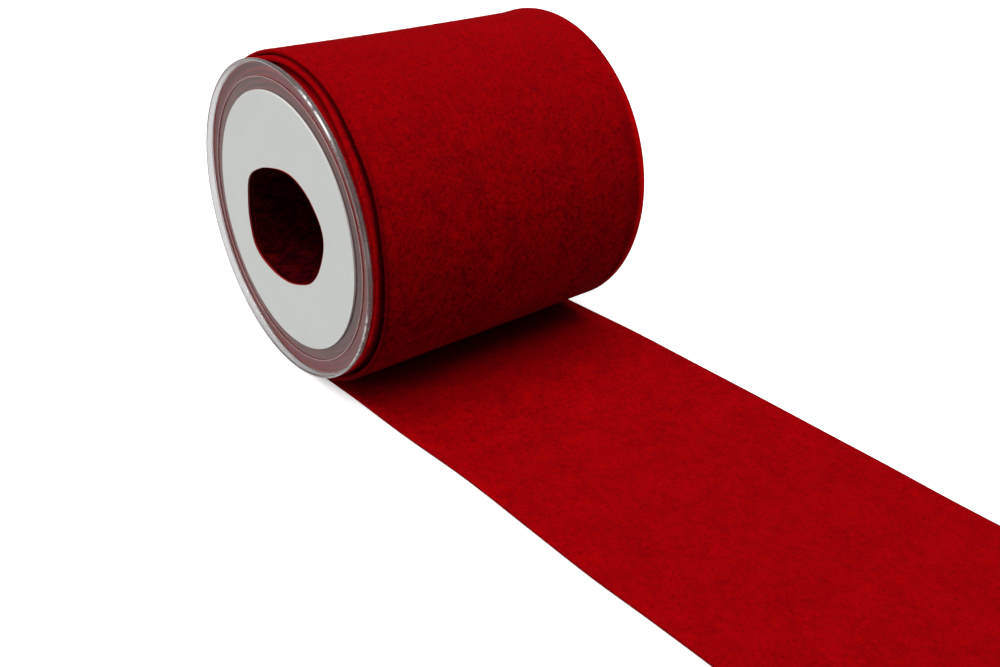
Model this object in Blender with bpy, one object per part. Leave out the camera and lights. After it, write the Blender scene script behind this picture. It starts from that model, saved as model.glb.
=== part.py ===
"""Roll of felt.

A felt ribbon 100 mm wide is wound on itself around an open bore. Its loose end leaves
from under the roll and lies flat in front of it. A clear plastic cap with a raised lip
closes one end of the roll around the bore, and a card ring is stuck on the cap.

Frame: the roll's axis runs along Y and the capped end faces -Y. The loose end runs
towards +X. Everything stands on Z = 0, with the box of the whole centred on X and Y.
Lengths are in metres. The pieces are modelled from the line where the roll touches the
ground (X = 0, Z = 0) and from the near edge of its outer turn (Y = 0). One empty then
carries them all to the frame's origin.
"""

import math

import bmesh
import bpy

# Felt ribbon
FELT_THICKNESS = 0.0013
FELT_WIDTH = 0.1000
TOUCHING_GAP = 0.0003       # left between two pieces that touch

# Wound roll
ROLL_RADIUS = 0.0527        # outer turn, where it comes down to the ground
FLAT_SPOT = 0.0060          # length that the roll's weight presses flat behind the contact line
ROLL_WAIST = 0.0004         # the roll is this much slimmer halfway along than at its ends
TURNS_FORWARD = 0.0019      # the inner turns stand this far towards the cap
ROLL_POINTS = 96            # points around the roll
ROLL_STATIONS = 9           # sections along the roll
OUTER_TURN_EDGE = (
    # part of a turn from the ground, where its near edge lies
    (0.00, 0.0016),
    (0.30, 0.0020),
    (0.53, 0.0018),
    (0.61, 0.0010),
    (0.68, 0.0001),
    (0.75, -0.0005),
    (0.82, -0.0001),
    (0.90, -0.0004),
    (1.00, -0.0008),
)

# Loose end, one row for each section
LOOSE_END_STEPS = 44
LOOSE_END_SECTIONS = (
    # from contact line, near edge, far edge
    (0.000, 0.0016, 0.1018),
    (0.025, 0.0030, 0.1034),
    (0.050, 0.0039, 0.1051),
    (0.080, 0.0058, 0.1058),
    (0.105, 0.0061, 0.1064),
    (0.130, 0.0064, 0.1067),
    (0.150, 0.0075, 0.1070),
    (0.170, 0.0083, 0.1070),
    (0.195, 0.0088, 0.1078),
    (0.220, 0.0097, 0.1090),
)

# Clear end cap: a disc with a raised lip and a low moulded ring
CAP_RADIUS = 0.0494
CAP_OFF_AXIS_X = -0.0003    # the cap sits a little off the roll's axis
CAP_OFF_AXIS_Z = 0.0008
CAP_DISC_THICKNESS = 0.0007
CAP_LIP_HEIGHT = 0.0018     # above the disc
CAP_LIP_THICKNESS = 0.0011
CAP_BACK_ROUNDING = 0.0014  # the rim curves in towards the felt
CAP_RING_RADIUS = 0.0440
CAP_RING_WIDTH = 0.0011
CAP_RING_HEIGHT = 0.0008

# Card ring on the cap
CARD_RADIUS = 0.0402
CARD_THICKNESS = 0.0003

# Hand-cut hole through card, cap and felt, one row for each point of its outline
HOLE_OUTLINE = (
    # angle in degrees from +X towards +Z, radius
    (10.0, 0.0243),
    (30.0, 0.0225),
    (55.0, 0.0200),
    (85.0, 0.0175),
    (110.0, 0.0171),
    (135.0, 0.0190),
    (157.0, 0.0222),
    (178.0, 0.0229),
    (200.0, 0.0246),
    (217.0, 0.0258),
    (240.0, 0.0226),
    (262.0, 0.0203),
    (292.0, 0.0193),
    (320.0, 0.0208),
    (345.0, 0.0223),
)
CAP_HOLE_MARGIN = 0.0010    # the hole in the cap is this much wider all round
BORE_MARGIN = 0.0006        # and so is the bore of the felt

# Planes across the roll's axis, from the felt outwards to the card
FELT_FACE_Y = -TURNS_FORWARD
CAP_BACK_Y = FELT_FACE_Y - TOUCHING_GAP
CAP_FRONT_Y = CAP_BACK_Y - CAP_DISC_THICKNESS
LIP_FRONT_Y = CAP_FRONT_Y - CAP_LIP_HEIGHT
CARD_BACK_Y = CAP_FRONT_Y - TOUCHING_GAP
CARD_FRONT_Y = CARD_BACK_Y - CARD_THICKNESS

AXIS_HEIGHT = math.sqrt(ROLL_RADIUS ** 2 - FLAT_SPOT ** 2)
CAP_CENTRE_Z = AXIS_HEIGHT + CAP_OFF_AXIS_Z


def clear_scene():
    for obj in list(bpy.data.objects):
        bpy.data.objects.remove(obj)


def principled(name, colour, roughness, transmission=0.0):
    material = bpy.data.materials.new(name)
    material.use_nodes = True
    shader = material.node_tree.nodes["Principled BSDF"]
    shader.inputs["Base Color"].default_value = (*colour, 1.0)
    shader.inputs["Roughness"].default_value = roughness
    shader.inputs["Metallic"].default_value = 0.0
    shader.inputs["Transmission Weight"].default_value = transmission
    material.diffuse_color = (*colour, 1.0)
    return material


def smooth_between(before, start, end, after, t):
    """Catmull-Rom value at t between start and end."""
    bend = 2 * before - 5 * start + 4 * end - after
    turn = 3 * (start - end) + after - before
    return start + 0.5 * t * (end - before + t * (bend + t * turn))


def hole_radius(angle):
    """Radius of the hand-cut hole at an angle in degrees, smooth all the way round."""
    count = len(HOLE_OUTLINE)
    for i in range(count):
        start = HOLE_OUTLINE[i][0]
        span = (HOLE_OUTLINE[(i + 1) % count][0] - start) % 360
        past = (angle - start) % 360
        if past <= span:
            radii = [HOLE_OUTLINE[(i + k) % count][1] for k in (-1, 0, 1, 2)]
            return smooth_between(*radii, past / span)
    return HOLE_OUTLINE[0][1]


def read_table(table, place, column):
    """Smooth value of one column of a table, at a place between its rows."""
    last = len(table) - 1
    i = max(k for k in range(last) if table[k][0] <= place)
    rows = [table[min(max(i + k, 0), last)] for k in (-1, 0, 1, 2)]
    t = (place - rows[1][0]) / (rows[2][0] - rows[1][0])
    return smooth_between(*(row[column] for row in rows), t)


def link_mesh(name, vertices, faces, material):
    """Make a mesh object whose faces all point outwards."""
    mesh = bpy.data.meshes.new(name)
    mesh.from_pydata(vertices, [], faces)
    work = bmesh.new()
    work.from_mesh(mesh)
    bmesh.ops.recalc_face_normals(work, faces=work.faces)
    work.to_mesh(mesh)
    work.free()
    mesh.shade_smooth()
    mesh.set_sharp_from_angle(angle=math.radians(35))
    mesh.materials.append(material)
    obj = bpy.data.objects.new(name, mesh)
    bpy.context.collection.objects.link(obj)
    return obj


def loft(name, rings, material, around):
    """Skin a list of rings. With around set, the last ring joins the first, which makes
    a body with a hole through it. Without, the first and last rings are filled."""
    size = len(rings[0])
    vertices = [point for ring in rings for point in ring]
    faces = []
    pairs = len(rings) if around else len(rings) - 1
    for r in range(pairs):
        here, there = r * size, (r + 1) % len(rings) * size
        for i in range(size):
            j = (i + 1) % size
            faces.append((here + i, here + j, there + j, there + i))
    if not around:
        faces.append(tuple(range(size)))
        faces.append(tuple(range(len(vertices) - size, len(vertices))))
    return link_mesh(name, vertices, faces, material)


def roll_ring(y, inset=0.0):
    """Outline of the wound felt. It starts on the ground, goes up the back, over the top
    and down the front, one felt thickness smaller after the whole turn, and ends on the
    loose end. It is pressed flat wherever it meets the ground or the loose end. The outer
    turn, which has no inset or a small one, wavers at its near edge."""
    ring = []
    wavers = inset < FELT_THICKNESS
    turn_step = FELT_THICKNESS + TOUCHING_GAP
    along = min(max(y / FELT_WIDTH, 0.0), 1.0)
    for i in range(ROLL_POINTS + 1):
        turned = i / ROLL_POINTS
        angle = 2 * math.pi * turned
        waist = ROLL_WAIST * math.sin(math.pi * along) * math.sin(angle / 2) ** 2
        radius = ROLL_RADIUS - turn_step * turned - waist - inset
        ground = turn_step if turned > 0.5 else 0.0
        x = 0.0 if i in (0, ROLL_POINTS) else -radius * math.sin(angle)
        z = max(AXIS_HEIGHT - radius * math.cos(angle), ground + inset)
        shift = read_table(OUTER_TURN_EDGE, turned, 1) * (1 - along) if wavers else 0.0
        ring.append((x, y + shift, z))
    return ring


def hole_ring(y, margin, count):
    """Outline of the hole, starting below its centre and turning the way the roll does."""
    ring = []
    for i in range(count):
        angle = 270 - 360 * (i + 0.5) / count
        radius = hole_radius(angle) + margin
        x = CAP_OFF_AXIS_X + radius * math.cos(math.radians(angle))
        z = CAP_CENTRE_Z + radius * math.sin(math.radians(angle))
        ring.append((x, y, z))
    return ring


def disc_ring(y, radius, count):
    ring = []
    for i in range(count):
        angle = math.radians(270 - 360 * (i + 0.5) / count)
        x = CAP_OFF_AXIS_X + radius * math.cos(angle)
        z = CAP_CENTRE_Z + radius * math.sin(angle)
        ring.append((x, y, z))
    return ring


def make_felt_roll(material):
    """One solid of the wound form. Its turns step towards the cap in a rounded shoulder,
    and at the far end they are set back by as much."""
    step = FELT_THICKNESS
    rings = [
        roll_ring(FELT_FACE_Y, inset=3.2 * step),
        roll_ring(FELT_FACE_Y * 0.80, inset=2.2 * step),
        roll_ring(FELT_FACE_Y * 0.45, inset=1.2 * step),
        roll_ring(0.0, inset=0.4 * step),
    ]
    shoulder = 0.5 * step
    for i in range(ROLL_STATIONS):
        rings.append(roll_ring(shoulder + (FELT_WIDTH - 2 * shoulder) * i / (ROLL_STATIONS - 1)))
    rings += [
        roll_ring(FELT_WIDTH, inset=0.4 * step),
        roll_ring(FELT_WIDTH - TURNS_FORWARD * 0.55, inset=1.2 * step),
        roll_ring(FELT_WIDTH - TURNS_FORWARD, inset=3.2 * step),
        hole_ring(FELT_WIDTH - TURNS_FORWARD, BORE_MARGIN, ROLL_POINTS + 1),
        hole_ring(FELT_FACE_Y, BORE_MARGIN, ROLL_POINTS + 1),
    ]
    return loft("felt_roll", rings, material, around=True)


def make_felt_loose_end(material):
    """The flat sheet that runs out from under the roll, with its gently wavering edges."""
    start = TOUCHING_GAP
    length = LOOSE_END_SECTIONS[-1][0] - start
    sections = []
    for i in range(LOOSE_END_STEPS + 1):
        x = start + length * i / LOOSE_END_STEPS
        near = read_table(LOOSE_END_SECTIONS, x, 1)
        far = read_table(LOOSE_END_SECTIONS, x, 2)
        sections.append([
            (x, near, 0.0), (x, near, FELT_THICKNESS), (x, far, FELT_THICKNESS), (x, far, 0.0),
        ])
    return loft("felt_loose_end", sections, material, around=False)


def make_end_cap(material):
    """Moulded disc with a raised lip at its rim and a low ring inside the lip. Behind, the
    rim is rounded towards the felt."""
    lip_inside = CAP_RADIUS - CAP_LIP_THICKNESS
    edge = CAP_LIP_THICKNESS * 0.3
    ring_front_y = CAP_FRONT_Y - CAP_RING_HEIGHT
    rounding = [
        (CAP_BACK_Y - CAP_BACK_ROUNDING * (1 - math.sin(turn)),
         CAP_RADIUS - CAP_BACK_ROUNDING * (1 - math.cos(turn)))
        for turn in (math.radians(a) for a in (0, 30, 60, 90))
    ]
    profile = (
        # plane, radius
        (CAP_FRONT_Y, CAP_RING_RADIUS - CAP_RING_WIDTH),
        (ring_front_y, CAP_RING_RADIUS - CAP_RING_WIDTH / 2),
        (ring_front_y, CAP_RING_RADIUS + CAP_RING_WIDTH / 2),
        (CAP_FRONT_Y, CAP_RING_RADIUS + CAP_RING_WIDTH),
        (CAP_FRONT_Y, lip_inside),
        (LIP_FRONT_Y + edge, lip_inside),
        (LIP_FRONT_Y, lip_inside + edge),
        (LIP_FRONT_Y, CAP_RADIUS - edge),
        (LIP_FRONT_Y + edge, CAP_RADIUS),
        *rounding,
    )
    rings = [hole_ring(CAP_FRONT_Y, CAP_HOLE_MARGIN, ROLL_POINTS)]
    rings += [disc_ring(y, radius, ROLL_POINTS) for y, radius in profile]
    rings.append(hole_ring(CAP_BACK_Y, CAP_HOLE_MARGIN, ROLL_POINTS))
    return loft("end_cap", rings, material, around=True)


def make_card_ring(material):
    """Thin round card with the hand-cut hole."""
    rings = [
        hole_ring(CARD_FRONT_Y, 0.0, ROLL_POINTS),
        disc_ring(CARD_FRONT_Y, CARD_RADIUS, ROLL_POINTS),
        disc_ring(CARD_BACK_Y, CARD_RADIUS, ROLL_POINTS),
        hole_ring(CARD_BACK_Y, 0.0, ROLL_POINTS),
    ]
    return loft("card_ring", rings, material, around=True)


def stand_on_origin(pieces):
    """Parent the pieces to one empty and centre the box of the whole on X and Y."""
    points = [vertex.co for piece in pieces for vertex in piece.data.vertices]
    middle = [(min(p[k] for p in points) + max(p[k] for p in points)) / 2 for k in (0, 1)]
    stand = bpy.data.objects.new("stand", None)
    stand.location = (-middle[0], -middle[1], -min(p[2] for p in points))
    bpy.context.collection.objects.link(stand)
    for piece in pieces:
        piece.parent = stand
    return stand


clear_scene()
stand_on_origin([
    make_felt_roll(principled("wound_felt", (0.32, 0.002, 0.004), 0.95)),
    make_felt_loose_end(principled("flat_felt", (0.32, 0.002, 0.004), 0.95)),
    make_end_cap(principled("clear_plastic", (0.85, 0.86, 0.86), 0.12, transmission=0.9)),
    make_card_ring(principled("white_card", (0.56, 0.58, 0.56), 0.80)),
])
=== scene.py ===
"""Roll of felt ribbon: the looks.

A felt ribbon wound on itself, with its loose end lying in front of it. A clear plastic cap
closes one end of the roll, and a white card ring is stuck on the cap.

The roll's axis runs along Y and its capped end faces -Y. The loose end runs towards +X and
everything stands on Z = 0. Lengths are in metres.
"""

import math

import bmesh
import bpy
import numpy
from mathutils import Matrix, Vector


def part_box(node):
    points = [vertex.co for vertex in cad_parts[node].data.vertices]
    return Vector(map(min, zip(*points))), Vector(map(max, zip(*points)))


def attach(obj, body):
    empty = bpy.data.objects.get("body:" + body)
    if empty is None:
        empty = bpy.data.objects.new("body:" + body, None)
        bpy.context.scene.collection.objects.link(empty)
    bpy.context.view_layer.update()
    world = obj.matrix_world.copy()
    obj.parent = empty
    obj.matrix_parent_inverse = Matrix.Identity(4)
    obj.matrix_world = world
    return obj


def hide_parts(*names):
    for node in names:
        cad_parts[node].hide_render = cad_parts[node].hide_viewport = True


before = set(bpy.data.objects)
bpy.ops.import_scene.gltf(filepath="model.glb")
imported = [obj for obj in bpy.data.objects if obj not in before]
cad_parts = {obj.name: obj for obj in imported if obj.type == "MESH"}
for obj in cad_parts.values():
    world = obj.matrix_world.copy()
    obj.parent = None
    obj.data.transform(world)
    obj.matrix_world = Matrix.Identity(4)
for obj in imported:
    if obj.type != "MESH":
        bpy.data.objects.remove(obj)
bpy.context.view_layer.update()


# ---------------------------------------------------------------- Studio
# A plain pale table top under one wide soft box, in a white room. The camera looks along
# the loose end at the capped side of the roll, from a little above it.

MM = 0.001

CAMERA_PLACE = Vector((178.5, -187.7, 178.6)) * MM
CAMERA_HEADING = 50.161     # degrees from +Y towards -X
CAMERA_DIP = 29.492         # degrees below level
CAMERA_ROLL = 1.490
CAMERA_LENS = 36.76         # mm, on a sensor 36 mm wide

ROOM_STRENGTH = 0.20
LIGHTS = (
    # name, strength, degrees across, degrees from overhead, degrees from +X towards +Y,
    # and whether it lights matt surfaces or only glints on gloss
    ("soft_box_overhead", 3.1, 60, 10, -30, True),
    ("fill_panel", 1.5, 40, 72, -97, True),
    ("glint_panel", 0.35, 8, 47.5, -104, False),
)


def linear(hex_colour):
    """sRGB hex colour, such as "a01020", as linear RGBA."""
    parts = [int(hex_colour[i:i + 2], 16) / 255 for i in (0, 2, 4)]
    return (*(p / 12.92 if p <= 0.04045 else ((p + 0.055) / 1.055) ** 2.4 for p in parts), 1.0)


def start_material(name, **finish):
    """A new material with its Principled shader set, as (material, tree, shader)."""
    material = bpy.data.materials.new(name)
    material.use_nodes = True
    shader = material.node_tree.nodes["Principled BSDF"]
    for key, value in finish.items():
        shader.inputs[key.replace("_", " ")].default_value = value
    return material, material.node_tree, shader


camera = bpy.data.objects.new("camera", bpy.data.cameras.new("camera"))
camera.data.lens = CAMERA_LENS
camera.data.sensor_width = 36.0
camera.data.clip_start = 0.01
camera.matrix_world = (
    Matrix.Translation(CAMERA_PLACE)
    @ Matrix.Rotation(math.radians(CAMERA_HEADING), 4, "Z")
    @ Matrix.Rotation(math.radians(90 - CAMERA_DIP), 4, "X")
    @ Matrix.Rotation(math.radians(CAMERA_ROLL), 4, "Z")
)
bpy.context.collection.objects.link(camera)
bpy.context.scene.camera = camera

room = bpy.data.worlds.new("white_room")
room.use_nodes = True
room.node_tree.nodes["Background"].inputs["Color"].default_value = linear("ffffff")
room.node_tree.nodes["Background"].inputs["Strength"].default_value = ROOM_STRENGTH
bpy.context.scene.world = room
bpy.context.scene.view_settings.view_transform = "Standard"

for name, strength, spread, tilt, heading, lights_matt in LIGHTS:
    light = bpy.data.objects.new(name, bpy.data.lights.new(name, "SUN"))
    light.data.energy = strength
    light.data.angle = math.radians(spread)
    light.rotation_euler = (0, math.radians(tilt), math.radians(heading))
    light.visible_diffuse = lights_matt
    bpy.context.collection.objects.link(light)

# Matt painted board with a little light of its own, so that it stays an even white
table_material, tree, shader = start_material(
    "pale_table_top", Roughness=0.9, Specular_IOR_Level=0.1, Emission_Strength=0.40)
shader.inputs["Base Color"].default_value = linear("f8f8f8")
shader.inputs["Emission Color"].default_value = linear("ffffff")
bpy.ops.mesh.primitive_plane_add(size=6.0, location=(0, 0, -0.1 * MM))    # just clear of the felt
table_top = bpy.context.object
table_top.name = "table_top"
table_top.data.materials.append(table_material)
table_top.visible_diffuse = False       # the pale table throws no light back up at the felt


# ---------------------------------------------------------------- Wound felt
# Needled felt, dyed and pressed, slit to a ribbon and wound on itself around an open bore.
# The outer turn lies a little loose on the rest, and the turns under it step forward.

roll_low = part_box("felt_roll")[0]
end_low, end_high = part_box("felt_loose_end")
cap_low, cap_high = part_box("end_cap")
hub = (cap_low + cap_high) / 2

FELT_WIDTH = 100 * MM
FELT_THICKNESS = end_high.z - end_low.z
OUTER_RADIUS = 52.7 * MM
FLAT_SPOT = 6.0 * MM        # pressed flat behind the contact line
AXIS_HEIGHT = math.sqrt(OUTER_RADIUS ** 2 - FLAT_SPOT ** 2)
CONTACT_X = end_low.x - 0.3 * MM
STEP_FORWARD = 1.9 * MM     # the inner turns stand this much further out than the outer one
NEAR_Y = roll_low.y + STEP_FORWARD
SECTION_ROUNDING = 0.38     # of the thickness, at the corners of the ribbon's section
TURNS = 18
POINTS_A_TURN = 120
WAIST = 0.4 * MM            # the roll is this much slimmer halfway along
UNEVENNESS = 0.22 * MM      # height of the soft bumps of the outer turn
BUMP_SPACING = 30 * MM
EDGE_CURL = 0.6 * MM        # the far edge turns outwards this much
CURL_SHARPNESS = 60.0       # a higher number keeps the curl closer to the edge

TURN_SHIFTS = (
    # turns from the loose end inwards, shift of the near edge, of the far edge, slack, in mm
    (0.00, 1.6, 1.8, 0.0),
    (0.30, 0.3, 0.9, 0.0),
    (0.40, 0.7, 0.5, 0.0),
    (0.46, 1.8, 0.3, 0.0),
    (0.53, 2.0, 0.1, 0.0),
    (0.61, 1.2, 0.0, 0.0),
    (0.68, 0.7, 0.0, 0.0),
    (0.75, -0.3, 0.0, 0.0),
    (0.82, 0.2, 0.0, 0.0),
    (0.90, -0.2, 0.0, 0.0),
    (1.00, -0.6, -0.2, 0.0),
    (1.20, -1.6, -0.4, -0.20),
    (1.42, -1.8, -0.6, -0.28),
    (1.48, -0.9, -0.6, -0.20),
    (1.54, 0.4, -0.6, -0.05),
    (1.58, -0.2, -0.6, 0.10),
    (1.61, -1.0, -0.7, 0.35),
    (1.64, -1.5, -0.7, 0.60),
    (1.68, -1.8, -0.8, 0.80),
    (1.78, -1.9, -0.9, 0.90),
    (2.00, -1.9, -1.1, 0.90),
    (2.50, -1.7, -1.4, 0.90),
    (3.00, -1.9, -1.7, 0.90),
    (4.00, -1.9, -1.9, 0.90),
)
SHIFTED_TURNS = TURN_SHIFTS[-1][0]
SHIFT_LIMIT = 3.0 * MM      # either way, for the tree's curves
BORE_LIMITS = (15 * MM, 30 * MM)
BORE_POINTS = 32
HOLE_REACH = 30 * MM        # corners of a CAD piece nearer the hub than this are its hole's


def hole_outline(node):
    """Angles and radii of the hole's corners in a CAD piece, about the hub, in order."""
    corners = set()
    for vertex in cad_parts[node].data.vertices:
        x, z = vertex.co.x - hub.x, vertex.co.z - hub.z
        if math.hypot(x, z) < HOLE_REACH:
            corners.add((round(math.atan2(z, x), 4), round(math.hypot(x, z), 6)))
    return numpy.array(sorted(corners)).T


def hole_radius(outline, angle):
    """How far a hole reaches from the hub at one angle."""
    return float(numpy.interp(angle, outline[0], outline[1], period=math.tau))


def section_curve(name, width, thickness, steps):
    """Closed outline of a ribbon's section, with rounded edges, running along X."""
    corner = SECTION_ROUNDING * thickness
    spots = []
    for middle_x, middle_y, first in (
        (width - corner, corner - thickness / 2, -90),
        (width - corner, thickness / 2 - corner, 0),
        (corner, thickness / 2 - corner, 90),
        (corner, corner - thickness / 2, 180),
    ):
        for step in range(3):
            turn = math.radians(first + 45 * step)
            spots.append((middle_x + corner * math.cos(turn), middle_y + corner * math.sin(turn)))
        if first in (0, 180):
            start, end = (width - corner, corner) if first == 0 else (corner, width - corner)
            side = spots[-1][1]
            for step in range(1, steps):
                spots.append((start + (end - start) * step / steps, side))
    curve = bpy.data.curves.new(name, "CURVE")
    curve.dimensions = "3D"
    spline = curve.splines.new("POLY")
    spline.points.add(len(spots) - 1)
    for point, (x, y) in zip(spline.points, spots):
        point.co = (x, y, 0, 1)
    spline.use_cyclic_u = True
    section = bpy.data.objects.new(name, curve)
    bpy.context.collection.objects.link(section)
    return section


def shifts_column(column):
    """One column of the table of turns, as (place from 0 to 1, metres)."""
    return [(row[0] / SHIFTED_TURNS, row[column] * MM) for row in TURN_SHIFTS]


def add_node(tree, kind, inputs=None, **settings):
    """Add one node, with its settings, and give each named input a value or a link."""
    node = tree.nodes.new(kind)
    for name, value in settings.items():
        setattr(node, name, value)
    for key, value in (inputs or {}).items():
        if isinstance(value, bpy.types.NodeSocket):
            tree.links.new(value, node.inputs[key])
        else:
            node.inputs[key].default_value = value
    return node


def start_tree(name, kinds):
    """A new Geometry Nodes tree and its inputs by name, from the names of each kind of input."""
    tree = bpy.data.node_groups.new(name, "GeometryNodeTree")
    tree.interface.new_socket("Geometry", in_out="INPUT", socket_type="NodeSocketGeometry")
    for kind, names in kinds.items():
        for socket_name in names:
            tree.interface.new_socket(socket_name, in_out="INPUT", socket_type="NodeSocket" + kind)
    tree.interface.new_socket("Geometry", in_out="OUTPUT", socket_type="NodeSocketGeometry")
    given = add_node(tree, "NodeGroupInput").outputs
    return tree, {socket.name: socket for socket in given if socket.name}


def winding_tree():
    """Geometry Nodes tree that winds a ribbon from the ground up the back of the roll, over
    the top and down the front, from the outer turn inwards."""
    tree, known = start_tree("wound_ribbon", {
        "Float": (
            "First Turn", "Last Turn", "All Turns", "Outer Radius", "Axis Height", "Contact X",
            "Near Y", "Width", "Thickness", "Waist", "Unevenness", "Edge Curl"),
        "Int": ("Points a Turn",),
        "Object": ("Section",),
        "Material": ("Material",),
    })

    def sums(rows):
        """Each row names a value and says how it is worked out from the values before it."""
        for name, operation, *terms in rows:
            values = {i: known.get(term, term) for i, term in enumerate(terms)}
            known[name] = add_node(tree, "ShaderNodeMath", values, operation=operation).outputs[0]

    def hand_curve(name, factor, spots, lowest, highest):
        """A value that follows spots (place from 0 to 1, value) smoothly."""
        node = add_node(tree, "ShaderNodeFloatCurve", {"Value": known[factor]})
        line = node.mapping.curves[0]
        for i, (place, value) in enumerate(spots):
            height = (value - lowest) / (highest - lowest)
            if i == 0:
                line.points[0].location = (place, height)
            elif i == len(spots) - 1:
                line.points[-1].location = (place, height)
            else:
                line.points.new(place, height)
        node.mapping.update()
        known[name] = add_node(tree, "ShaderNodeMapRange", {
            "Value": node.outputs[0], "To Min": lowest, "To Max": highest}).outputs[0]

    # The ribbon's middle line: a long row of points, each placed by how far it has turned
    known["Index"] = add_node(tree, "GeometryNodeInputIndex").outputs[0]
    sums((
        ("turns here", "SUBTRACT", "Last Turn", "First Turn"),
        ("steps", "MULTIPLY", "turns here", "Points a Turn"),
        ("count", "ADD", "steps", 1.0),
        ("past", "DIVIDE", "Index", "Points a Turn"),
        ("turned", "ADD", "past", "First Turn"),
        ("part of turn", "FRACT", "turned"),
        ("edge place", "DIVIDE", "turned", SHIFTED_TURNS),
    ))
    outline = hole_outline("felt_roll")
    bore = []
    for k in range(BORE_POINTS + 1):
        angle = math.radians(270 - 360 * k / BORE_POINTS)
        bore.append((k / BORE_POINTS, hole_radius(outline, angle)))
    hand_curve("bore", "part of turn", bore, *BORE_LIMITS)
    hand_curve("slack", "edge place", shifts_column(3), -SHIFT_LIMIT, SHIFT_LIMIT)
    sums((
        ("angle", "MULTIPLY", "turned", math.tau),
        ("half", "MULTIPLY", "Thickness", 0.5),
        ("tight", "SUBTRACT", "Outer Radius", "half"),
        ("outer", "SUBTRACT", "tight", "slack"),
        ("inner", "ADD", "bore", "half"),
        ("depth", "SUBTRACT", "outer", "inner"),
        ("pitch", "DIVIDE", "depth", "All Turns"),
        ("wound in", "MULTIPLY", "pitch", "turned"),
        ("radius", "SUBTRACT", "outer", "wound in"),
        ("sine", "SINE", "angle"),
        ("cosine", "COSINE", "angle"),
        ("back", "MULTIPLY", "radius", "sine"),
        ("x", "SUBTRACT", "Contact X", "back"),
        ("rise", "MULTIPLY", "radius", "cosine"),
        ("round z", "SUBTRACT", "Axis Height", "rise"),
        ("turns under", "ROUND", "turned"),
        ("stack", "MULTIPLY", "pitch", "turns under"),
        ("lowest z", "ADD", "stack", "half"),
        ("z", "MAXIMUM", "round z", "lowest z"),
    ))
    row = add_node(tree, "GeometryNodeCurvePrimitiveLine", {"End": (1.0, 0.0, 0.0)})
    row = add_node(tree, "GeometryNodeResampleCurve", {"Curve": row.outputs[0], "Count": known["count"]})
    row = add_node(tree, "GeometryNodeStoreNamedAttribute", {
        "Geometry": row.outputs[0], "Name": "turned", "Value": known["turned"]},
        data_type="FLOAT", domain="POINT")
    place = add_node(tree, "ShaderNodeCombineXYZ", {0: known["x"], 1: known["Near Y"], 2: known["z"]})
    row = add_node(tree, "GeometryNodeSetPosition", {
        "Geometry": row.outputs[0], "Position": place.outputs[0]})
    row = add_node(tree, "GeometryNodeSetCurveNormal", {
        "Curve": row.outputs[0], "Normal": (0.0, 1.0, 0.0)}, mode="FREE")

    # The ribbon itself, then the shift of its edges, its waist and its soft bumps
    section = add_node(tree, "GeometryNodeObjectInfo", {"Object": known["Section"]})
    ribbon = add_node(tree, "GeometryNodeCurveToMesh", {
        "Curve": row.outputs[0], "Profile Curve": section.outputs["Geometry"], "Fill Caps": True})
    position = add_node(tree, "GeometryNodeInputPosition").outputs[0]
    parts = add_node(tree, "ShaderNodeSeparateXYZ", {0: position}).outputs
    turned = add_node(tree, "GeometryNodeInputNamedAttribute", {"Name": "turned"}, data_type="FLOAT")
    known.update({"px": parts[0], "py": parts[1], "pz": parts[2], "turned": turned.outputs[0]})
    sums((
        ("across", "SUBTRACT", "py", "Near Y"),
        ("along", "DIVIDE", "across", "Width"),
        ("edge place", "DIVIDE", "turned", SHIFTED_TURNS),
        ("angle", "MULTIPLY", "turned", math.tau),
    ))
    sums((("outer place", "SUBTRACT", "edge place", 1 / SHIFTED_TURNS),))
    for name, place, column in (
        ("near shift", "edge place", 1),
        ("far shift", "edge place", 2),
        ("outer near shift", "outer place", 1),
    ):
        hand_curve(name, place, shifts_column(column), -SHIFT_LIMIT, SHIFT_LIMIT)
    bumps = add_node(tree, "ShaderNodeTexNoise", {
        "Vector": position, "Scale": 1 / BUMP_SPACING, "Detail": 1.0})
    known["bumps"] = bumps.outputs["Fac"]
    sums((
        ("shift apart", "SUBTRACT", "far shift", "near shift"),
        ("shift along", "MULTIPLY", "shift apart", "along"),
        ("shift", "ADD", "shift along", "near shift"),
        ("from outer edge", "SUBTRACT", "across", "outer near shift"),
        ("covered", "ADD", "from outer edge", "shift"),
        ("half across", "MULTIPLY", "along", math.pi),
        ("belly", "SINE", "half across"),
        ("half angle", "MULTIPLY", "angle", 0.5),
        ("half sine", "SINE", "half angle"),
        ("upper", "MULTIPLY", "half sine", "half sine"),
        ("waist here", "MULTIPLY", "belly", "Waist"),
        ("waist up", "MULTIPLY", "waist here", "upper"),
        ("bump", "SUBTRACT", "bumps", 0.5),
        ("bump here", "MULTIPLY", "bump", "Unevenness"),
        ("bump up", "MULTIPLY", "bump here", "upper"),
        ("to far edge", "POWER", "along", CURL_SHARPNESS),
        ("curl", "MULTIPLY", "to far edge", "Edge Curl"),
        ("curl up", "MULTIPLY", "curl", "upper"),
        ("swell", "SUBTRACT", "bump up", "waist up"),
        ("outwards", "ADD", "swell", "curl up"),
        ("from axis x", "SUBTRACT", "px", "Contact X"),
        ("from axis z", "SUBTRACT", "pz", "Axis Height"),
    ))
    radial = add_node(tree, "ShaderNodeCombineXYZ", {0: known["from axis x"], 2: known["from axis z"]})
    radial = add_node(tree, "ShaderNodeVectorMath", {0: radial.outputs[0]}, operation="NORMALIZE")
    radial = add_node(tree, "ShaderNodeVectorMath", {
        0: radial.outputs[0], "Scale": known["outwards"]}, operation="SCALE")
    sideways = add_node(tree, "ShaderNodeCombineXYZ", {1: known["shift"]})
    move = add_node(tree, "ShaderNodeVectorMath", {
        0: radial.outputs[0], 1: sideways.outputs[0]}, operation="ADD")
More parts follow.
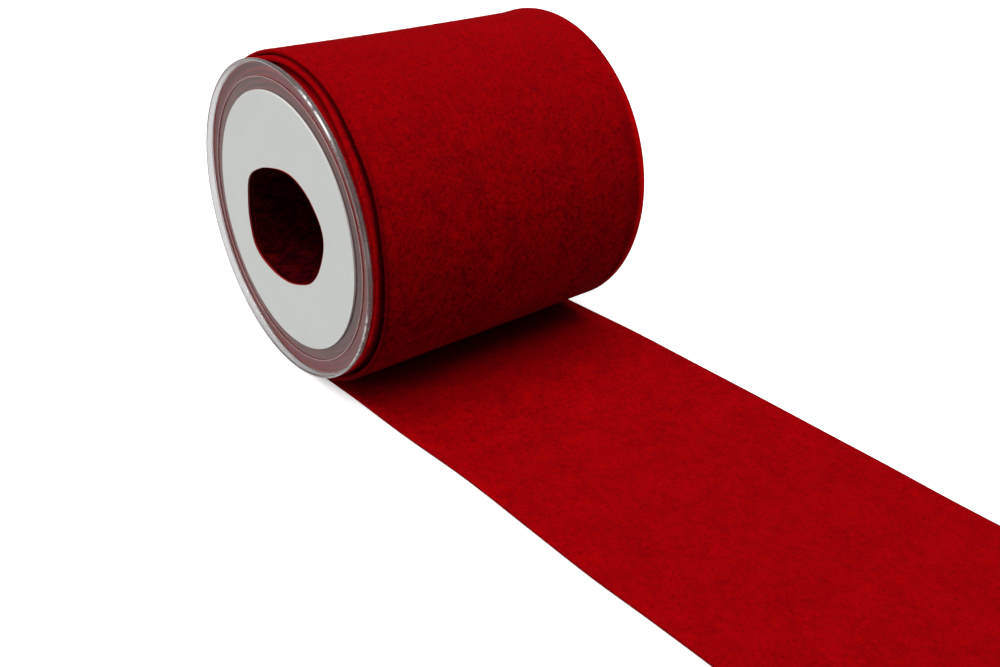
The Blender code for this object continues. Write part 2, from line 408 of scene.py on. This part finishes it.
    # For the material: metres in from the near edge of the outer turn, and from its own
    for name in ("covered", "across"):
        ribbon = add_node(tree, "GeometryNodeStoreNamedAttribute", {
            "Geometry": ribbon.outputs[0], "Name": name, "Value": known[name]},
            data_type="FLOAT", domain="POINT")
    ribbon = add_node(tree, "GeometryNodeSetPosition", {
        "Geometry": ribbon.outputs[0], "Offset": move.outputs[0]})
    ribbon = add_node(tree, "GeometryNodeRealizeInstances", {0: ribbon.outputs[0]})
    ribbon = add_node(tree, "GeometryNodeSetMaterial", {
        "Geometry": ribbon.outputs[0], "Material": known["Material"]})
    add_node(tree, "NodeGroupOutput", {"Geometry": ribbon.outputs[0]})
    return tree


def grow(name, tree, inputs, base=None):
    """Run a Geometry Nodes tree on a base mesh, or on nothing, and keep a plain mesh of it."""
    holder = bpy.data.objects.new(name, base or bpy.data.meshes.new(name))
    bpy.context.collection.objects.link(holder)
    modifier = holder.modifiers.new(name, "NODES")
    modifier.node_group = tree
    for item in tree.interface.items_tree:
        if item.in_out == "INPUT" and item.name in inputs:
            modifier[item.identifier] = inputs[item.name]
    holder.update_tag()
    bpy.context.view_layer.update()
    result = holder.evaluated_get(bpy.context.evaluated_depsgraph_get())
    mesh = bpy.data.meshes.new_from_object(result)
    mesh.name = name
    bpy.data.objects.remove(holder)
    return mesh


def finish_mesh(mesh, sharp=50):
    """Turn every face outwards and shade it smooth, but for edges sharper than that many degrees."""
    work = bmesh.new()
    work.from_mesh(mesh)
    bmesh.ops.recalc_face_normals(work, faces=work.faces)
    work.to_mesh(mesh)
    work.free()
    mesh.shade_smooth()
    mesh.set_sharp_from_angle(angle=math.radians(sharp))
    return mesh


def place_piece(name, meshes):
    """One object from one or more meshes, at the origin, unturned."""
    work = bmesh.new()
    for mesh in meshes:
        work.from_mesh(mesh)
    joined = meshes[0]
    work.to_mesh(joined)
    work.free()
    piece = bpy.data.objects.new(name, joined)
    bpy.context.collection.objects.link(piece)
    return piece


def fade(tree, most, limits):
    """A share that is most at its highest and that each limit fades: a value, where nothing is
    left, where all is, and the least that may be left."""
    share = most
    for value, nothing, everything, *least in limits:
        inside = add_node(tree, "ShaderNodeMapRange", {
            "Value": value, "From Min": nothing, "From Max": everything, "To Min": sum(least)})
        share = add_node(tree, "ShaderNodeMath", {
            0: inside.outputs[0], 1: share}, operation="MULTIPLY").outputs[0]
    return share


def felt_material(name, grain, patches, by_table, far_along):
    """Dyed needled felt: matt, with a short nap that catches light at its edges, cloudy in
    tone, and mottled by fibres that lie every way. Grain and patches say how strongly the
    fibres and the broader tones show, and the other two how much they do so down by the table
    and far along the ribbon."""
    material, tree, shader = start_material(name, Roughness=1.0, Specular_IOR_Level=0.03)
    shader.inputs["Sheen Weight"].default_value = 0.04
    shader.inputs["Sheen Roughness"].default_value = 0.5
    shader.inputs["Sheen Tint"].default_value = linear("c81012")
    shader.inputs["Specular Tint"].default_value = linear("b01816")
    place = add_node(tree, "ShaderNodeTexCoord").outputs["Object"]
    layers = {}
    tone = 0.5
    for layer, size, detail, roughness, distortion, strength in (
        # Millimetres from one patch to the next first, and how far it moves the tone last. Real
        # fibres are about 0.03 mm thick, and the finest layer is far coarser so that it shows.
        ("cloud", 11.0, 3.0, 0.6, 0.3, 0.35 * patches),
        ("patch", 3.0, 2.0, 0.6, 0.6, 0.35 * patches),
        ("mottle", 1.3, 3.0, 0.75, 0.8, 1.10 * grain),
        ("fibre", 0.7, 2.0, 0.8, 2.5, 1.10 * grain),
    ):
        layers[layer] = add_node(tree, "ShaderNodeTexNoise", {
            "Vector": place, "Scale": 1 / (size * MM), "Detail": detail, "Roughness": roughness,
            "Distortion": distortion}).outputs["Fac"]
        centred = add_node(tree, "ShaderNodeMath", {0: layers[layer], 1: 0.5}, operation="SUBTRACT")
        tone = add_node(tree, "ShaderNodeMath", {
            0: centred.outputs[0], 1: strength, 2: tone}, operation="MULTIPLY_ADD").outputs[0]
    parts = add_node(tree, "ShaderNodeSeparateXYZ", {0: place}).outputs
    tone_by_place = add_node(tree, "ShaderNodeMapRange", {
        "Value": parts["Z"], "From Min": 20 * MM, "From Max": 100 * MM, "To Min": by_table,
        "To Max": 0.6})
    smoothed = add_node(tree, "ShaderNodeMapRange", {
        "Value": parts["X"], "From Min": -30 * MM, "From Max": 60 * MM, "To Min": 1.0,
        "To Max": far_along})
    tone_by_place = add_node(tree, "ShaderNodeMath", {
        0: tone_by_place.outputs[0], 1: smoothed.outputs[0]}, operation="MULTIPLY")
    spread = add_node(tree, "ShaderNodeMath", {0: tone, 1: 0.5}, operation="SUBTRACT")
    tone = add_node(tree, "ShaderNodeMath", {
        0: spread.outputs[0], 1: tone_by_place.outputs[0], 2: 0.5}, operation="MULTIPLY_ADD").outputs[0]
    colour = add_node(tree, "ShaderNodeMix", {
        0: tone, 6: linear("4a0109"), 7: linear("b80305")}, data_type="RGBA").outputs[2]
    fleck = add_node(tree, "ShaderNodeTexNoise", {
        "Vector": place, "Scale": 1 / (1.2 * MM), "Detail": 3.0, "Roughness": 0.7, "Distortion": 2.0})
    fleck = add_node(tree, "ShaderNodeMapRange", {
        "Value": fleck.outputs["Fac"], "From Min": 0.56, "From Max": 0.64,
        "To Max": 0.15 + 0.40 * grain})
    fleck = add_node(tree, "ShaderNodeMath", {
        0: fleck.outputs[0], 1: smoothed.outputs[0]}, operation="MULTIPLY")
    colour = add_node(tree, "ShaderNodeMix", {
        0: fleck.outputs[0], 6: colour, 7: linear("22040f")}, data_type="RGBA").outputs[2]

    # The innermost turn, which lines the bore, is painted near-black as the shade deep in the bore, drawn
    # out in rows along the roll
    turned = add_node(tree, "ShaderNodeAttribute", attribute_name="turned").outputs["Fac"]
    bore_shade_share = add_node(tree, "ShaderNodeMapRange", {
        "Value": turned, "From Min": TURNS - 1.5, "From Max": TURNS - 1.0}).outputs[0]
    drawn_out = add_node(tree, "ShaderNodeMapping", {"Vector": place, "Scale": (1.0, 0.45, 1.0)})
    rows = add_node(tree, "ShaderNodeTexNoise", {
        "Vector": drawn_out.outputs[0], "Scale": 1 / (2.2 * MM), "Detail": 3.0,
        "Distortion": 1.2}).outputs["Fac"]
    rows = add_node(tree, "ShaderNodeMapRange", {"Value": rows, "From Min": 0.42, "From Max": 0.72})
    painted_bore_shade = add_node(tree, "ShaderNodeMix", {
        0: rows.outputs[0], 6: linear("2c0208"), 7: linear("620409")}, data_type="RGBA").outputs[2]
    colour = add_node(tree, "ShaderNodeMix", {
        0: bore_shade_share, 6: colour, 7: painted_bore_shade}, data_type="RGBA").outputs[2]

    # Painted shade and painted highlights on the felt, each with its tone, its share and its limits
    covered = add_node(tree, "ShaderNodeAttribute", attribute_name="covered").outputs["Fac"]
    across = add_node(tree, "ShaderNodeAttribute", attribute_name="across").outputs["Fac"]
    from_far = add_node(tree, "ShaderNodeMath", {0: FELT_WIDTH, 1: across}, operation="SUBTRACT").outputs[0]
    for tone, most, limits in (
        # painted shade where it runs in under the edge of the turn outside it, which little light reaches
        ("1c0103", 0.85, (
            (turned, 1.44, 1.60), (turned, 2.10, 2.00, 0.25), (turned, TURNS - 1.0, TURNS - 2.0),
            (covered, -1.2 * MM, -0.3 * MM))),
        # painted shade on the outer turn's near edge, most of all low on the front
        ("2c0104", 0.60, (
            (turned, 0.55, 0.62), (turned, 1.30, 1.20), (parts["Z"], 88 * MM, 62 * MM),
            (across, 1.2 * MM, 0.3 * MM))),
        ("3c0105", 0.28, (
            (turned, 0.50, 0.62), (turned, 1.30, 1.20), (across, 2.2 * MM, 0.8 * MM))),
        # painted shade in the hollow just inside its far edge, and a painted highlight on that edge where
        # it stands up
        ("2c0104", 0.26, (
            (turned, 0.52, 0.60), (turned, 1.10, 1.00), (parts["Z"], 92 * MM, 70 * MM),
            (from_far, 8.0 * MM, 5.0 * MM), (from_far, 2.0 * MM, 3.4 * MM))),
        ("f0070b", 0.60, (
            (turned, 0.50, 0.52), (turned, 1.10, 1.00), (parts["Z"], 98 * MM, 60 * MM),
            (from_far, 3.0 * MM, 1.2 * MM))),
        # the crease between the roll and the loose end, which no light reaches
        ("080001", 0.80, (
            (turned, 0.02, 0.01), (parts["Z"], 3.0 * MM, 2.0 * MM),
            (parts["X"], CONTACT_X + 34 * MM, CONTACT_X + 12 * MM))),
    ):
        colour = add_node(tree, "ShaderNodeMix", {
            0: fade(tree, most, limits), 6: colour, 7: linear(tone)}, data_type="RGBA").outputs[2]
    tree.links.new(colour, shader.inputs["Base Color"])
    bump = add_node(tree, "ShaderNodeBump", {
        "Height": layers["fibre"], "Strength": 0.8, "Distance": 0.20 * MM})
    bump = add_node(tree, "ShaderNodeBump", {
        "Height": layers["mottle"], "Normal": bump.outputs[0], "Strength": 0.7, "Distance": 0.35 * MM})
    tree.links.new(bump.outputs[0], shader.inputs["Normal"])
    return material


felt = felt_material("dyed_needled_felt", grain=1.0, patches=1.0, by_table=2.3, far_along=0.45)
winding = winding_tree()
winding_sizes = {
    "All Turns": float(TURNS), "Points a Turn": POINTS_A_TURN, "Outer Radius": OUTER_RADIUS,
    "Axis Height": AXIS_HEIGHT, "Contact X": CONTACT_X, "Near Y": NEAR_Y, "Width": FELT_WIDTH,
    "Thickness": FELT_THICKNESS, "Waist": WAIST, "Unevenness": UNEVENNESS,
    "Edge Curl": EDGE_CURL, "Material": felt,
}
OUTER_TURNS = 1.25          # this much of the winding is finely divided, because it shows
stretches = []
for label, first, last, steps in (
    # turns from and to, and how many steps its section has along each side
    ("outer", 0.0, OUTER_TURNS, 24),
    ("inner", OUTER_TURNS, float(TURNS), 2),
):
    section = section_curve(label + "_section", FELT_WIDTH, FELT_THICKNESS, steps)
    stretches.append(finish_mesh(grow(label + "_turns", winding, {
        **winding_sizes, "First Turn": first, "Last Turn": last, "Section": section})))
    bpy.data.objects.remove(section)
wound_felt = place_piece("wound_felt", stretches)
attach(wound_felt, "root")
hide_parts("felt_roll")


# ---------------------------------------------------------------- Loose end
# The first stretch of the ribbon, unrolled flat on the table. It is the same felt, and its
# slit edges waver a little, as pulled felt does.

LOOSE_END_STEPS = 176
LOOSE_END_ACROSS = 30


def loose_end_edges():
    """Places along the loose end and its two edges there, read from the CAD piece."""
    sections = []
    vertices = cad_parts["felt_loose_end"].data.vertices
    for x, y in sorted(tuple(vertex.co[:2]) for vertex in vertices):
        if not sections or x - sections[-1][0][0] > MM:
            sections.append([])
        sections[-1].append((x, y))
    rows = [(c[0][0], min(y for _, y in c), max(y for _, y in c)) for c in sections]
    return numpy.array([row for row in rows if row[2] - row[1] > FELT_WIDTH / 2]).T


def loose_end_mesh():
    """Loft of rounded sections from under the roll to the cut end. Each section is stretched
    between the two edges, and its rounded corners keep their size."""
    places, near, far = loose_end_edges()
    section = section_curve("end_section", 1.0, FELT_THICKNESS, LOOSE_END_ACROSS)
    spots = [tuple(point.co[:2]) for point in section.data.splines[0].points]
    bpy.data.objects.remove(section)
    mesh = bpy.data.meshes.new("loose_end")
    work = bmesh.new()
    rings = []
    corner = SECTION_ROUNDING * FELT_THICKNESS
    for step in range(LOOSE_END_STEPS + 1):
        x = places[0] + (places[-1] - places[0]) * step / LOOSE_END_STEPS
        left = numpy.interp(x, places, near)
        right = numpy.interp(x, places, far)
        ring = []
        for across, height in spots:
            y = numpy.interp(
                across, (0, corner, 1 - corner, 1), (left, left + corner, right - corner, right))
            ring.append(work.verts.new((x, y, height + FELT_THICKNESS / 2)))
        rings.append(ring)
    for here, there in zip(rings, rings[1:]):
        for i in range(len(here)):
            j = (i + 1) % len(here)
            work.faces.new((here[i], here[j], there[j], there[i]))
    work.faces.new(rings[0])
    work.faces.new(rings[-1])
    work.to_mesh(mesh)
    work.free()
    # Pressed flat by the winding until now, so its fibres and its broader tones show less
    mesh.materials.append(felt_material(
        "dyed_needled_felt_pressed", grain=0.46, patches=0.8, by_table=1.6, far_along=0.68))
    return finish_mesh(mesh)


loose_end = place_piece("loose_end", [loose_end_mesh()])
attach(loose_end, "root")
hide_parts("felt_loose_end")


# ---------------------------------------------------------------- Loose fibres
# Single wool fibres that needling and slitting left standing out of the felt's face and its
# cut edges. Each lies nearly flat, bowed one way. They are drawn twice as thick as real ones.

FIBRE_LENGTH = 1.4 * MM
FIBRE_RADIUS = 0.022 * MM
SHORTEST, LONGEST = 0.5, 1.3        # as shares of that length
FIBRES_A_SQUARE_METRE = 1.3e5
OPEN_TURN = 0.98            # past this the outer turn is covered, and no fibres stand on it


def nap_ground(name, mesh, keep):
    """A copy of a mesh with only the faces that fibres stand on."""
    ground = bpy.data.meshes.new(name)
    work = bmesh.new()
    work.from_mesh(mesh)
    turned = work.verts.layers.float.get("turned")
    bare = [face for face in work.faces if not keep(face, turned and face.verts[0][turned])]
    bmesh.ops.delete(work, geom=bare, context="FACES")
    work.to_mesh(ground)
    work.free()
    return ground


def nap_tree():
    """Geometry Nodes tree that scatters bowed, tapering fibres over a mesh."""
    tree, given = start_tree("loose_fibres", {
        "Float": ("Length", "Radius", "Density"), "Int": ("Seed",), "Material": ("Material",)})
    bow = add_node(tree, "GeometryNodeCurveQuadraticBezier", {
        "Resolution": 4, "Start": (0.0, 0.0, -0.05), "Middle": (0.45, 0.12, 0.32),
        "End": (1.0, -0.05, 0.06)})
    length = add_node(tree, "ShaderNodeCombineXYZ", {i: given["Length"] for i in range(3)})
    bow = add_node(tree, "GeometryNodeTransform", {"Geometry": bow.outputs[0], "Scale": length.outputs[0]})
    round_section = add_node(tree, "GeometryNodeCurvePrimitiveCircle", {
        "Resolution": 3, "Radius": given["Radius"]})
    fibre = add_node(tree, "GeometryNodeCurveToMesh", {
        "Curve": bow.outputs[0], "Profile Curve": round_section.outputs[0], "Fill Caps": True})
    spots = add_node(tree, "GeometryNodeDistributePointsOnFaces", {
        "Mesh": given["Geometry"], "Density": given["Density"], "Seed": given["Seed"]})
    spin = add_node(tree, "FunctionNodeRandomValue", {
        2: 0.0, 3: math.tau, "Seed": given["Seed"]}, data_type="FLOAT")
    spin = add_node(tree, "ShaderNodeCombineXYZ", {2: spin.outputs[1]})
    spin = add_node(tree, "FunctionNodeEulerToRotation", {0: spin.outputs[0]})
    turn = add_node(tree, "FunctionNodeRotateRotation", {
        0: spots.outputs["Rotation"], 1: spin.outputs[0]}, rotation_space="LOCAL")
    size = add_node(tree, "FunctionNodeRandomValue", {
        2: SHORTEST, 3: LONGEST, "Seed": 7}, data_type="FLOAT")
    nap = add_node(tree, "GeometryNodeInstanceOnPoints", {
        "Points": spots.outputs["Points"], "Instance": fibre.outputs[0],
        "Rotation": turn.outputs[0], "Scale": size.outputs[1]})
    nap = add_node(tree, "GeometryNodeRealizeInstances", {0: nap.outputs[0]})
    nap = add_node(tree, "GeometryNodeSetMaterial", {
        "Geometry": nap.outputs[0], "Material": given["Material"]})
    add_node(tree, "NodeGroupOutput", {"Geometry": nap.outputs[0]})
    return tree


def fibre_material():
    """Dyed wool fibre: a little brighter and glossier than the matted felt under it."""
    material, tree, shader = start_material("dyed_wool_fibre", Roughness=0.6, Specular_IOR_Level=0.1)
    shader.inputs["Specular Tint"].default_value = linear("c83030")
    place = add_node(tree, "ShaderNodeTexCoord").outputs["Object"]
    dye = add_node(tree, "ShaderNodeTexNoise", {"Vector": place, "Scale": 1 / (0.9 * MM), "Detail": 2.0})
    tone = add_node(tree, "ShaderNodeMapRange", {
        "Value": dye.outputs["Fac"], "From Min": 0.40, "From Max": 0.60})
    colour = add_node(tree, "ShaderNodeMix", {
        0: tone.outputs[0], 6: linear("6a0209"), 7: linear("be0a12")}, data_type="RGBA")
    tree.links.new(colour.outputs[2], shader.inputs["Base Color"])
    return material


def outside_of_roll(face, turned):
    """The outer turn's outside and cut edges, clear of the table."""
    middle = face.calc_center_median()
    outwards = Vector((middle.x - CONTACT_X, 0.0, middle.z - AXIS_HEIGHT)).normalized()
    standing = face.normal.dot(outwards) > 0.5 or abs(face.normal.y) > 0.7
    return turned < OPEN_TURN and middle.z > 2 * FIBRE_LENGTH and standing


def face_of_loose_end(face, turned):
    """The loose end's upper face."""
    return face.normal.z > 0.5


nap = nap_tree()
wool = fibre_material()
for seed, (name, piece, keep) in enumerate((
    ("roll_fibres", wound_felt, outside_of_roll),
    ("loose_end_fibres", loose_end, face_of_loose_end),
)):
    ground = nap_ground(name + "_ground", piece.data, keep)
    fibres = place_piece(name, [finish_mesh(grow(name, nap, {
        "Length": FIBRE_LENGTH, "Radius": FIBRE_RADIUS, "Density": FIBRES_A_SQUARE_METRE,
        "Seed": seed, "Material": wool}, ground), 90)])
    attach(fibres, "root")


# ---------------------------------------------------------------- End cap
# Injection-moulded clear polystyrene disc with a raised lip at its rim and a low ring
# inside the lip. It is pressed onto the end of the roll, and the hole is cut out by hand.

CAP_RADIUS = (cap_high.x - cap_low.x) / 2
CAP_GAP = 2.2 * MM          # from the outer turn's near edge
CAP_THICKNESS = 0.7 * MM
CAP_BACK_Y = NEAR_Y - CAP_GAP
CAP_FRONT_Y = CAP_BACK_Y - CAP_THICKNESS
LIP_FRONT_Y = cap_low.y
LIP_THICKNESS = 0.8 * MM
LIP_INSIDE = CAP_RADIUS - LIP_THICKNESS
LIP_FILLET = 0.4 * MM       # where the disc meets the lip
LIP_ROUNDING = 0.35 * MM
BACK_ROUNDING = 1.9 * MM    # where the rim turns in to the back
BACK_SLOPE = 1.0 * MM
RING_RADIUS = 44.0 * MM
RING_HEIGHT = 0.35 * MM
CAP_POINTS = 240


def lathe_with_hole(name, outline, profile, hole_front, hole_back, points):
    """Turn a profile of (plane, radius) rows about the hub, and cut the hole by hand."""
    work = bmesh.new()
    rings = []
    rows = [(hole_front, None), *profile, (hole_back, None)]
    for plane, radius in rows:
        ring = []
        for i in range(points):
            angle = math.tau * i / points
            reach = radius or hole_radius(outline, angle)
            x, z = hub.x + reach * math.cos(angle), hub.z + reach * math.sin(angle)
            ring.append(work.verts.new((x, plane, z)))
        rings.append(ring)
    for here, there in zip(rings, rings[1:] + rings[:1]):
        for i in range(points):
            j = (i + 1) % points
            work.faces.new((here[i], here[j], there[j], there[i]))
    mesh = bpy.data.meshes.new(name)
    work.to_mesh(mesh)
    work.free()
    return mesh


def arc(middle_plane, middle_radius, size, first, last, steps):
    """Points on an arc of a profile, in degrees from outwards along the radius to the front."""
    turns = [math.radians(first + (last - first) * k / steps) for k in range(steps + 1)]
    return [(middle_plane - size * math.sin(t), middle_radius + size * math.cos(t)) for t in turns]


# Painted highlights on the lip's front edge, white where the rounding would catch the light
LIP_HIGHLIGHTS = (
    # degrees from +X towards +Z, how far it runs each way, how white
    (57, 14, 1.0),
    (-19, 9, 0.8),
    (-34, 9, 0.7),
    (-54, 8, 0.6),
    (208, 10, 0.5),
)


def clear_plastic_material():
    """Clear moulded polystyrene. The thin disc is matt from the mould and takes the tone of
    the felt behind it, greyer inside the moulded ring. The polished lip bends the light."""
    material, tree, shader = start_material(
        "clear_moulded_polystyrene", IOR=1.5, Specular_IOR_Level=0.3)
    place = add_node(tree, "ShaderNodeTexCoord").outputs["Object"]
    plane = add_node(tree, "ShaderNodeSeparateXYZ", {0: place}).outputs["Y"]
    centred = add_node(tree, "ShaderNodeMapping", {
        "Vector": place, "Location": (-hub.x, 0.0, -hub.z), "Scale": (1.0, 0.0, 1.0)})
    reach = add_node(tree, "ShaderNodeVectorMath", {
        0: centred.outputs[0]}, operation="LENGTH").outputs["Value"]
    outside = add_node(tree, "ShaderNodeMapRange", {
        "Value": reach, "From Min": RING_RADIUS - 0.6 * MM, "From Max": RING_RADIUS}).outputs[0]
    tint = add_node(tree, "ShaderNodeMix", {
        0: outside, 6: linear("624b4b"), 7: linear("692f31")}, data_type="RGBA").outputs[2]
    from_ring = add_node(tree, "ShaderNodeMath", {0: reach, 1: RING_RADIUS}, operation="SUBTRACT")
    from_ring = add_node(tree, "ShaderNodeMath", {0: from_ring.outputs[0]}, operation="ABSOLUTE")
    ring = add_node(tree, "ShaderNodeMapRange", {
        "Value": from_ring.outputs[0], "From Min": 0.3 * MM, "From Max": 0.1 * MM}).outputs[0]
    tint = add_node(tree, "ShaderNodeMix", {
        0: ring, 6: tint, 7: linear("b09a98")}, data_type="RGBA").outputs[2]
    lip = add_node(tree, "ShaderNodeMapRange", {
        "Value": reach, "From Min": LIP_INSIDE - 0.5 * MM, "From Max": LIP_INSIDE - 0.2 * MM}).outputs[0]
    tint = add_node(tree, "ShaderNodeMix", {
        0: lip, 6: tint, 7: linear("b4b4b4")}, data_type="RGBA").outputs[2]

    # Painted highlights along the lip's front edge in a few places, where its rounding would catch the
    # light
    parts = add_node(tree, "ShaderNodeSeparateXYZ", {0: centred.outputs[0]}).outputs
    around = add_node(tree, "ShaderNodeMath", {
        0: parts["Z"], 1: parts["X"]}, operation="ARCTAN2").outputs[0]
    highlight_breaks = add_node(tree, "ShaderNodeTexNoise", {"Vector": place, "Scale": 1 / (1.5 * MM), "Detail": 2.0})
    painted_highlight = 0.0
    for middle, run, white in LIP_HIGHLIGHTS:
        away = add_node(tree, "ShaderNodeMath", {
            0: around, 1: math.radians((middle + 180) % 360 - 180)}, operation="SUBTRACT")
        away = add_node(tree, "ShaderNodeMath", {0: away.outputs[0]}, operation="ABSOLUTE")
        here = add_node(tree, "ShaderNodeMapRange", {
            "Value": away.outputs[0], "From Min": math.radians(run), "From Max": math.radians(run / 2),
            "To Max": white})
        painted_highlight = add_node(tree, "ShaderNodeMath", {
            0: here.outputs[0], 1: painted_highlight}, operation="ADD").outputs[0]
    painted_highlight = fade(tree, painted_highlight, (
        (highlight_breaks.outputs["Fac"], 0.30, 0.50),
        (plane, LIP_FRONT_Y + 0.6 * MM, LIP_FRONT_Y + 0.3 * MM),
        (reach, CAP_RADIUS - 0.65 * MM, CAP_RADIUS - 0.35 * MM),
    ))
    tint = add_node(tree, "ShaderNodeMix", {
        0: painted_highlight, 6: tint, 7: linear("f4f4f4")}, data_type="RGBA").outputs[2]
    tree.links.new(tint, shader.inputs["Base Color"])

    # Matt haze on the disc's front face only, and clear on the lip except under the painted highlights
    haze = add_node(tree, "ShaderNodeMapRange", {
        "Value": plane, "From Min": CAP_FRONT_Y + 0.1 * MM, "From Max": CAP_FRONT_Y + 0.3 * MM,
        "To Min": 0.62, "To Max": 0.0}).outputs[0]
    clear = add_node(tree, "ShaderNodeMapRange", {
        "Value": painted_highlight, "To Min": 0.97, "To Max": 0.1}).outputs[0]
    for finish, on_disc, on_lip in (
        ("Alpha", haze, 1.0),
        ("Transmission Weight", 0.0, clear),
        ("Roughness", 0.07, 0.22),
    ):
        value = add_node(tree, "ShaderNodeMapRange", {"Value": lip, "To Min": on_disc, "To Max": on_lip})
        tree.links.new(value.outputs[0], shader.inputs[finish])
    flow = add_node(tree, "ShaderNodeTexNoise", {"Vector": place, "Scale": 1 / (6 * MM), "Detail": 2.0})
    bump = add_node(tree, "ShaderNodeBump", {
        "Height": flow.outputs["Fac"], "Strength": 0.02, "Distance": 0.1 * MM})
    tree.links.new(bump.outputs[0], shader.inputs["Normal"])
    return material


cap_profile = [
    *arc(CAP_FRONT_Y, RING_RADIUS, RING_HEIGHT, 180, 0, 8),
    (CAP_FRONT_Y, LIP_INSIDE - LIP_FILLET),
    (CAP_FRONT_Y - 0.3 * LIP_FILLET, LIP_INSIDE - 0.3 * LIP_FILLET),
    (CAP_FRONT_Y - LIP_FILLET, LIP_INSIDE),
    *arc(LIP_FRONT_Y + LIP_ROUNDING, LIP_INSIDE + LIP_ROUNDING, LIP_ROUNDING, 180, 90, 4),
    *arc(LIP_FRONT_Y + LIP_ROUNDING, CAP_RADIUS - LIP_ROUNDING, LIP_ROUNDING, 90, 0, 4),
    *arc(CAP_BACK_Y - BACK_ROUNDING, CAP_RADIUS - BACK_ROUNDING, BACK_ROUNDING, 0, -40, 3),
    (CAP_BACK_Y, CAP_RADIUS - BACK_ROUNDING - BACK_SLOPE),
]
cap_mesh = lathe_with_hole(
    "end_cap", hole_outline("end_cap"), cap_profile, CAP_FRONT_Y, CAP_BACK_Y, CAP_POINTS)
cap_mesh.materials.append(clear_plastic_material())
end_cap = place_piece("clear_cap", [finish_mesh(cap_mesh, 40)])
end_cap.visible_shadow = False          # clear as glass, so it throws no shadow on the felt
end_cap.visible_diffuse = False         # nor does it stop the light that the felt gives back
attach(end_cap, "root")
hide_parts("end_cap")


# ---------------------------------------------------------------- Card ring
# Round white card, die-cut to a true circle outside and stuck on the face of the cap. Its
# hole was cut by hand through card and cap together; its edge is painted red where the felt's lit edge
# behind it shows.

card_low, card_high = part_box("card_ring")
CARD_RADIUS = (card_high.x - card_low.x) / 2
CARD_CHAMFER = 0.08 * MM
CARD_BACK_Y = CAP_FRONT_Y - 0.02 * MM
LIT_FELT_EDGE = (
    # degrees from +X towards +Z, how far in from the hole the painted red of the felt's lit edge reaches
    # there, in mm
    (0, 0.20),
    (20, 0.35),
    (35, 0.50),
    (75, 0.45),
    (100, 0.20),
    (150, 0.10),
    (205, 0.12),
    (250, 0.15),
    (300, 0.22),
    (335, 0.20),
)


def card_material():
    """Uncoated white card: matt and smooth, faintly clouded, with a few specks. Its grain is
    drawn coarser than the real one so that it shows."""
    material, tree, shader = start_material("uncoated_white_card", Roughness=0.7, Specular_IOR_Level=0.3)
    place = add_node(tree, "ShaderNodeTexCoord").outputs["Object"]
    cloud = add_node(tree, "ShaderNodeTexNoise", {"Vector": place, "Scale": 1 / (9 * MM), "Detail": 4.0})
    tone = add_node(tree, "ShaderNodeMix", {
        "Factor": cloud.outputs["Fac"], 6: linear("d1d3d0"), 7: linear("d8dad7")}, data_type="RGBA")
    specks = add_node(tree, "ShaderNodeTexNoise", {"Vector": place, "Scale": 1 / (1.8 * MM), "Detail": 1.0})
    specks = add_node(tree, "ShaderNodeMapRange", {
        "Value": specks.outputs["Fac"], "From Min": 0.78, "From Max": 0.82, "To Max": 0.5})
    tone = add_node(tree, "ShaderNodeMix", {
        0: specks.outputs[0], 6: tone.outputs[2], 7: linear("6c6a68")}, data_type="RGBA")
    # The hole's edge is painted red where the felt's edge behind it shows and catches the light
    inwards = add_node(tree, "ShaderNodeAttribute", attribute_name="from_hole").outputs["Fac"]
    lit_edge_reach = add_node(tree, "ShaderNodeAttribute", attribute_name="lit_edge_reach").outputs["Fac"]
    inside = add_node(tree, "ShaderNodeMath", {0: lit_edge_reach, 1: inwards}, operation="SUBTRACT").outputs[0]
    share = add_node(tree, "ShaderNodeMapRange", {"Value": inside, "From Max": 0.12 * MM}).outputs[0]
    tone_by_place = add_node(tree, "ShaderNodeMix", {
        0: share, 6: tone.outputs[2], 7: linear("9c020a")}, data_type="RGBA")
    tree.links.new(tone_by_place.outputs[2], shader.inputs["Base Color"])
    fibre = add_node(tree, "ShaderNodeTexNoise", {"Vector": place, "Scale": 1 / (0.5 * MM), "Detail": 4.0})
    bump = add_node(tree, "ShaderNodeBump", {
        "Height": fibre.outputs["Fac"], "Strength": 0.1, "Distance": 0.05 * MM})
    tree.links.new(bump.outputs[0], shader.inputs["Normal"])
    return material


card_hole = hole_outline("card_ring")
card_profile = [
    (card_low.y, CARD_RADIUS - CARD_CHAMFER),
    (card_low.y + CARD_CHAMFER, CARD_RADIUS),
    (CARD_BACK_Y, CARD_RADIUS),
]
card_mesh = lathe_with_hole("card_ring", card_hole, card_profile, card_low.y, CARD_BACK_Y, CAP_POINTS)
card_mesh.materials.append(card_material())
from_hole = card_mesh.attributes.new("from_hole", "FLOAT", "POINT")
lit_edge_reach = card_mesh.attributes.new("lit_edge_reach", "FLOAT", "POINT")
degrees, reds = zip(*LIT_FELT_EDGE)
for vertex in card_mesh.vertices:
    x, z = vertex.co.x - hub.x, vertex.co.z - hub.z
    angle = math.atan2(z, x)
    from_hole.data[vertex.index].value = math.hypot(x, z) - hole_radius(card_hole, angle)
    lit_edge_reach.data[vertex.index].value = numpy.interp(math.degrees(angle), degrees, reds, period=360) * MM
card = place_piece("white_card_ring", [finish_mesh(card_mesh, 40)])
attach(card, "root")
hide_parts("card_ring")
